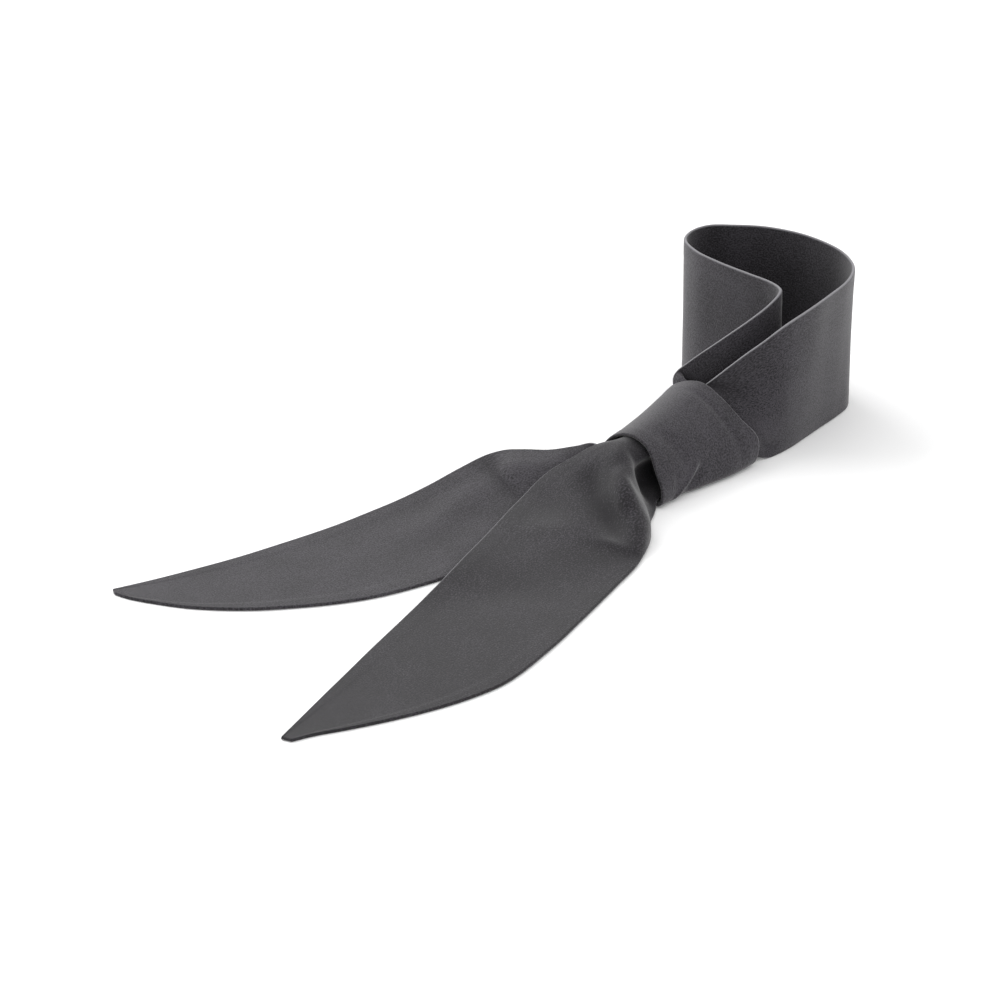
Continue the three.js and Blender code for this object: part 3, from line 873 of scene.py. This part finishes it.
class NECKERCHIEF_OT_stage(bpy.types.Operator):
    """Makes the pale floor, the soft light and the camera"""

    bl_idname = "neckerchief.stage"
    bl_label = "Floor, light and camera"

    def execute(self, context):
        scene = context.scene
        settings = scene.neckerchief_stage
        self.floor(scene)
        self.light(scene, settings)
        self.camera(scene, settings)
        scene.view_settings.view_transform = "Standard"
        return {"FINISHED"}

    def floor(self, scene):
        mesh = bpy.data.meshes.new("floor")
        corners = [
            (x * FLOOR_REACH, y * FLOOR_REACH, -FLOOR_DROP)
            for x, y in ((-1, -1), (1, -1), (1, 1), (-1, 1))
        ]
        mesh.from_pydata(corners, [], [(0, 1, 2, 3)])
        floor = bpy.data.objects.new("floor", mesh)
        scene.collection.objects.link(floor)
        material = bpy.data.materials.new("pale floor")
        paint = Paint(material)
        colour = (*scene.neckerchief_colours.floor, 1)
        shader = paint.node(
            "ShaderNodeBsdfPrincipled",
            None,
            {"Base Color": colour, "Roughness": 0.9, "Specular IOR Level": 0.2},
        )
        paint.node("ShaderNodeOutputMaterial", None, {"Surface": shader.outputs[0]})
        mesh.materials.append(material)

    def light(self, scene, settings):
        world = bpy.data.worlds.new("soft light")
        world.use_nodes = True
        sky = world.node_tree.nodes["Background"]
        sky.inputs[0].default_value = (1, 1, 1, 1)
        sky.inputs[1].default_value = settings.sky
        scene.world = world
        for name, place, share in SOFT_LIGHTS:
            lamp = bpy.data.lights.new(name, "AREA")
            lamp.energy = settings.key * share
            lamp.size = LAMP_SIZE
            box = bpy.data.objects.new(name, lamp)
            aim_at(box, Vector(place), Vector((0, 0, 0)))
            scene.collection.objects.link(box)

    def camera(self, scene, settings):
        lens = bpy.data.cameras.new("camera")
        lens.lens = settings.lens
        lens.sensor_width = SENSOR
        lens.clip_start, lens.clip_end = 0.05, 30
        camera = bpy.data.objects.new("camera", lens)
        target = Vector(LOOKED_AT)
        back = Vector(
            (
                math.sin(settings.turn) * math.cos(settings.rise),
                -math.cos(settings.turn) * math.cos(settings.rise),
                math.sin(settings.rise),
            )
        )
        aim_at(camera, target + back * settings.distance, target)
        scene.collection.objects.link(camera)
        scene.camera = camera


def aim_at(thing, place, target):
    """Puts a light or the camera at a place, looking at the target."""
    turn = (target - place).to_track_quat("-Z", "Y").to_matrix().to_4x4()
    thing.matrix_world = Matrix.Translation(place) @ turn


class NECKERCHIEF_PT_panel(bpy.types.Panel):
    """Lists the pieces and what may be changed"""

    bl_idname = "NECKERCHIEF_PT_panel"
    bl_label = "Neckerchief"
    bl_space_type = "VIEW_3D"
    bl_region_type = "UI"
    bl_category = "Neckerchief"

    def draw(self, context):
        scene = context.scene
        for group in (scene.neckerchief_cloth, scene.neckerchief_colours, scene.neckerchief_stage):
            box = self.layout.box()
            for name in group.bl_rna.properties.keys():
                if name not in ("rna_type", "name"):
                    box.prop(group, name)
        for maker in MAKERS:
            self.layout.operator(maker.bl_idname)


MAKERS = (
    NECKERCHIEF_OT_neck_band,
    NECKERCHIEF_OT_knot_wrap,
    NECKERCHIEF_OT_front_tail,
    NECKERCHIEF_OT_rear_tail,
    NECKERCHIEF_OT_stage,
)
GROUPS = (ClothSizes, ClothColours, StageSettings)


def register():
    for kind in (*GROUPS, *MAKERS, NECKERCHIEF_PT_panel):
        bpy.utils.register_class(kind)
    bpy.types.Scene.neckerchief_cloth = PointerProperty(type=ClothSizes)
    bpy.types.Scene.neckerchief_colours = PointerProperty(type=ClothColours)
    bpy.types.Scene.neckerchief_stage = PointerProperty(type=StageSettings)


def unregister():
    del bpy.types.Scene.neckerchief_stage
    del bpy.types.Scene.neckerchief_colours
    del bpy.types.Scene.neckerchief_cloth
    for kind in reversed((*GROUPS, *MAKERS, NECKERCHIEF_PT_panel)):
        bpy.utils.unregister_class(kind)


def main():
    register()
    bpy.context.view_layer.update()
    bpy.ops.neckerchief.neck_band()
    bpy.ops.neckerchief.knot_wrap()
    bpy.ops.neckerchief.front_tail()
    bpy.ops.neckerchief.rear_tail()
    bpy.ops.neckerchief.stage()


if __name__ == "__main__":
    main()
